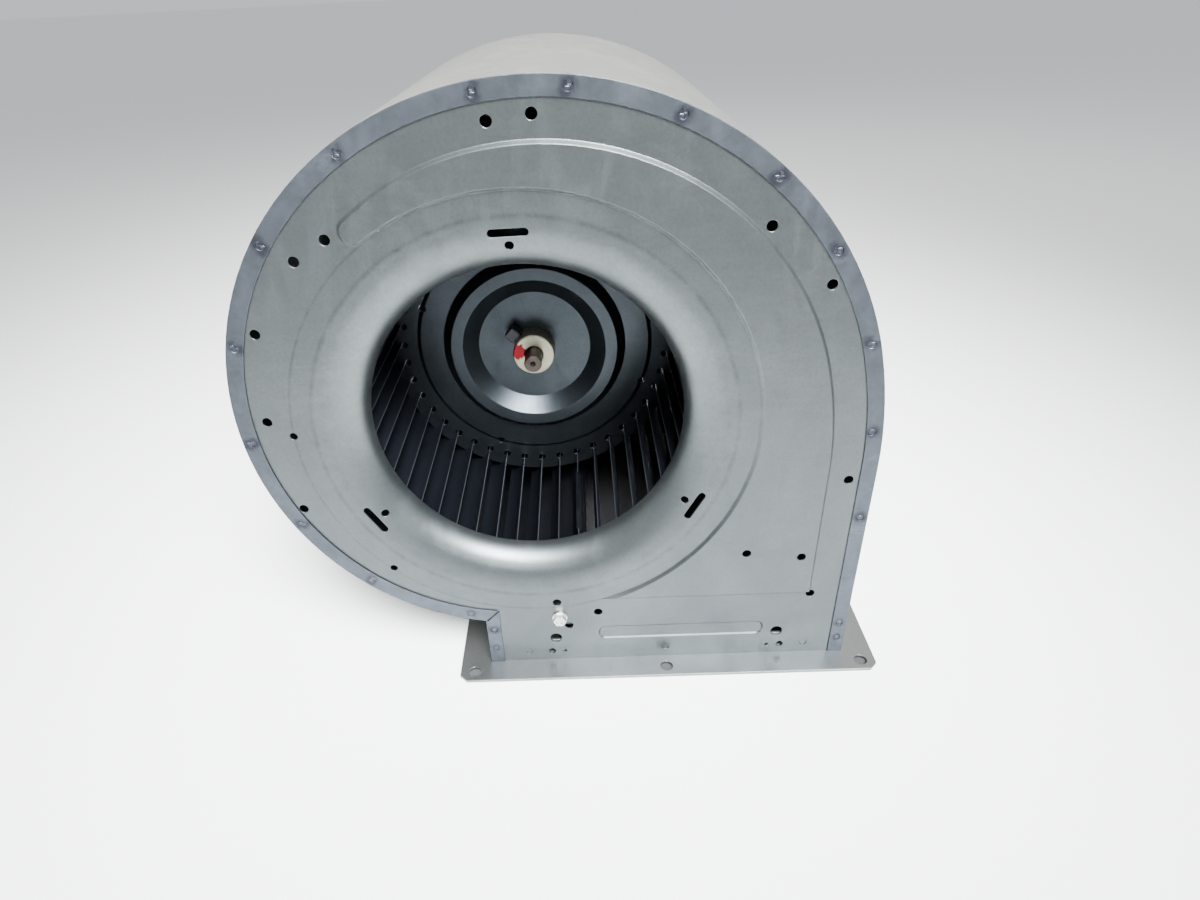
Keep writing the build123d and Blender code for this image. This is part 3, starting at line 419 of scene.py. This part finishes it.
# the wheel's dark tones are painted shade for the inside of the housing
disc_steel = galvanised("disc_steel", WHEEL_TONE, WHEEL_SHADE, rough=0.33, rings=DISC_SHADE_RINGS)
blade_steel = galvanised("blade_steel", BLADE_TONE, BLADE_SHADE, rough=0.32, edge=0.2 * MM,
                         painted_glints=BLADE_PAINTED_GLINTS)
bright_zinc = plated("bright_zinc", (0.62, 0.64, 0.66), (0.55, 0.53, 0.50))
hub_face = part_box("wheel_hub")[0].y
paint_place = Vector((AXIS_X - 11.0 * MM, hub_face, AXIS_Z + 3.0 * MM))
yellow_zinc = machined("yellow_zinc", (0.40, 0.39, 0.29), rough=0.42,
                       paint=(paint_place, 8.0 * MM, (0.20, 0.016, 0.022)))
ground_steel = machined("ground_steel", (0.06, 0.05, 0.044), rough=0.36)
strap_steel = plated("strap_steel", (0.48, 0.50, 0.51), (0.42, 0.43, 0.42), rough=0.32)

FINISHES = {
    "inlet_side_panel": panel_steel, "motor_side_panel": far_panel_steel, "scroll_wrap": wrap_steel,
    "outlet_flange": flange_steel, "cutoff_plate": shaded_cutoff_steel, "cutoff_screws": bright_zinc,
    "centre_disc": disc_steel, "fan_blades": blade_steel, "inlet_end_ring": disc_steel,
    "motor_end_ring": disc_steel, "wheel_hub": yellow_zinc, "hub_set_screw": black_oxide("oxide"),
    # the balance clip's dark tone is painted shade, matched to the disc
    "balance_clip": machined("clip_steel", (0.06, 0.068, 0.085), rough=0.3), "motor_shaft": ground_steel,
    "rotor_core": laminated("rotor_lamination"), "stator_core": laminated("stator_lamination"),
    "rotor_end_rings": cast("cast_rotor_metal", (0.58, 0.59, 0.60)),
    "thrust_washers": plain_nylon("nylon"), "motor_shell": enamel("black_enamel", (0.02, 0.021, 0.023)),
    "front_end_bell": cast("cast_bell_metal", (0.42, 0.43, 0.44)),
    "front_bearing": cast("sintered_bronze", (0.40, 0.26, 0.12), rough=0.4),
    "stator_windings": copper_coil("varnished_copper"), "through_bolts": bright_zinc,
    "through_bolt_nuts": bright_zinc, "lead_gland": moulded_rubber("gland_rubber"),
    "motor_band": strap_steel, "band_clamp_screw": bright_zinc, "band_clamp_nut": bright_zinc,
    "motor_arms": strap_steel, "arm_grommets": moulded_rubber("grommet_rubber"),
    "arm_screws": bright_zinc,
}
FINISHES["rear_end_bell"] = FINISHES["front_end_bell"]
FINISHES["rear_bearing"] = FINISHES["front_bearing"]

for name, material in FINISHES.items():
    mesh = nodes[name].data
    mesh.materials.clear()
    mesh.materials.append(material)


# ---------- pieces that the CAD leaves out ----------
def own_piece(name, mesh_maker, body, material):
    """A mesh piece from a function that fills a bmesh, riding on a body."""
    mesh = bpy.data.meshes.new(name)
    shape = bmesh.new()
    mesh_maker(shape)
    bmesh.ops.recalc_face_normals(shape, faces=shape.faces)
    for face in shape.faces:
        face.smooth = True
    shape.to_mesh(mesh)
    shape.free()
    mesh.materials.append(material)
    piece = bpy.data.objects.new(name, mesh)
    bpy.context.scene.collection.objects.link(piece)
    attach(piece, body)


def lathe(shape, centre, axis, profile, sides=24, squareness=0.0):
    """Closed turned form: profile holds (distance along the axis, radius) from end to end.

    squareness pushes the round section out at four sides, as a share of its radius.
    """
    axis = axis.normalized()
    across = axis.orthogonal().normalized()
    other = axis.cross(across)
    rings = []
    for along, radius in profile:
        ring = []
        for i in range(sides):
            turn = 2 * math.pi * i / sides
            reach = radius * (1 + squareness * math.cos(4 * turn))
            spot = centre + along * axis + reach * (math.cos(turn) * across + math.sin(turn) * other)
            ring.append(shape.verts.new(spot))
        rings.append(ring)
    for first, second in zip(rings, rings[1:]):
        for i in range(sides):
            j = (i + 1) % sides
            shape.faces.new((first[i], first[j], second[j], second[i]))
    shape.faces.new(rings[0])
    shape.faces.new(rings[-1])


# a button's section in millimetres: height above the dent's floor, radius
BUTTON_SECTION = ((-0.05, 1.3), (0.0, 1.75), (0.16, 1.62), (0.27, 1.35), (0.27, 1.15),
                  (0.12, 0.85), (0.10, 0.3))


def clinch_buttons(shape):
    """Crushed buttons in the dents of the clinched joints; where a dent gave two middles, two overlap."""
    for spot in clinches:
        outward = Vector((0.0, math.copysign(1.0, spot.y), 0.0))
        section = [(along * MM, radius * MM) for along, radius in BUTTON_SECTION]
        lathe(shape, spot, outward, section, squareness=0.06)


own_piece("clinch_buttons", clinch_buttons, "housing",
          machined("crushed_zinc", (0.075, 0.083, 0.10), rough=0.3))


# ---------- stage, light and camera ----------
def area_light(name, place, aim, size, power, color, spread=180.0):
    """Soft rectangular lamp; size in metres, power in watts, spread in degrees."""
    data = bpy.data.lights.new(name, "AREA")
    data.spread = math.radians(spread)
    data.shape = "RECTANGLE"
    data.size, data.size_y = size
    data.energy = power
    data.color = color
    lamp = bpy.data.objects.new(name, data)
    lamp.location = place
    lamp.rotation_euler = (Vector(aim) - Vector(place)).to_track_quat("-Z", "Y").to_euler()
    bpy.context.scene.collection.objects.link(lamp)


FLOOR_SIZE = 60.0
FLOOR_DROP = 0.5 * MM          # floor below the flange, so that the two don't coincide
SHADOW_HALF_X = 146.0 * MM       # painted shadow: the floor is dark under the outlet, darkening the inside of the housing and the flange holes
SHADOW_HALF_Y = 164.0 * MM
PAINTED_SHADOW_TONE, FLOOR_TONE = (0.03, 0.03, 0.033), (0.90, 0.90, 0.90)
SKY_TONE, SKY_STRENGTH = (0.93, 0.96, 1.0, 1.0), 0.75


def studio():
    """Pale floor, even sky, a soft key light over the camera and a soft light behind."""
    bpy.ops.mesh.primitive_plane_add(size=FLOOR_SIZE, location=(0.0, 0.0, -FLOOR_DROP))
    floor = bpy.context.object
    floor.name = "floor"
    g = Graph("floor_paint")
    split = g.add("ShaderNodeSeparateXYZ")
    g.link(g.object_space, split.inputs[0])
    # painted shadow: a dark patch on the floor under the outlet
    beyond_x = g.math("GREATER_THAN", g.math("ABSOLUTE", split.outputs["X"], 0.0), SHADOW_HALF_X)
    beyond_y = g.math("GREATER_THAN", g.math("ABSOLUTE", split.outputs["Y"], 0.0), SHADOW_HALF_Y)
    open_floor = g.math("MAXIMUM", beyond_x, beyond_y)
    tone = g.mix(open_floor, PAINTED_SHADOW_TONE, FLOOR_TONE)
    floor.data.materials.append(g.finish(tone, 0.0, 0.9))
    world = bpy.data.worlds.new("studio_world")
    world.use_nodes = True
    sky = world.node_tree.nodes["Background"]
    sky.inputs["Color"].default_value = SKY_TONE
    sky.inputs["Strength"].default_value = SKY_STRENGTH
    bpy.context.scene.world = world
    area_light("key", place=(0.24, -0.98, 1.32), aim=(-0.06, -0.10, 0.20), size=(1.0, 0.8),
               power=30.0, color=(0.97, 0.99, 1.0), spread=45.0)
    area_light("ceiling", place=(-0.1, 0.9, 1.7), aim=(0.0, 0.3, 0.2), size=(2.0, 1.6),
               power=30.0, color=(1.0, 0.99, 0.95))


CAMERA_PLACE = (-0.0530, -0.5622, 0.4251)
CAMERA_TURN = -1.48            # degrees to the right of +Y
CAMERA_DROP = 33.1             # degrees below the horizon
CAMERA_ROLL = 2.91
FOCAL_SHARE = 777.7 / 1200     # focal length over picture width
SHIFT = (29.7 / 1200, 33.7 / 1200)
SENSOR = 36.0


def photo_camera():
    turn, drop, roll = (math.radians(a) for a in (CAMERA_TURN, CAMERA_DROP, CAMERA_ROLL))
    forward = Vector((math.sin(turn) * math.cos(drop), math.cos(turn) * math.cos(drop), -math.sin(drop)))
    level = Vector((math.cos(turn), -math.sin(turn), 0.0))
    down = forward.cross(level)
    right = math.cos(roll) * level + math.sin(roll) * down
    below = -math.sin(roll) * level + math.cos(roll) * down
    data = bpy.data.cameras.new("camera")
    data.sensor_width = SENSOR
    data.lens = FOCAL_SHARE * SENSOR
    data.shift_x, data.shift_y = SHIFT
    camera = bpy.data.objects.new("camera", data)
    turned = Matrix((right, -below, -forward)).transposed().to_4x4()
    camera.matrix_world = Matrix.Translation(CAMERA_PLACE) @ turned
    bpy.context.scene.collection.objects.link(camera)
    bpy.context.scene.camera = camera


studio()
photo_camera()
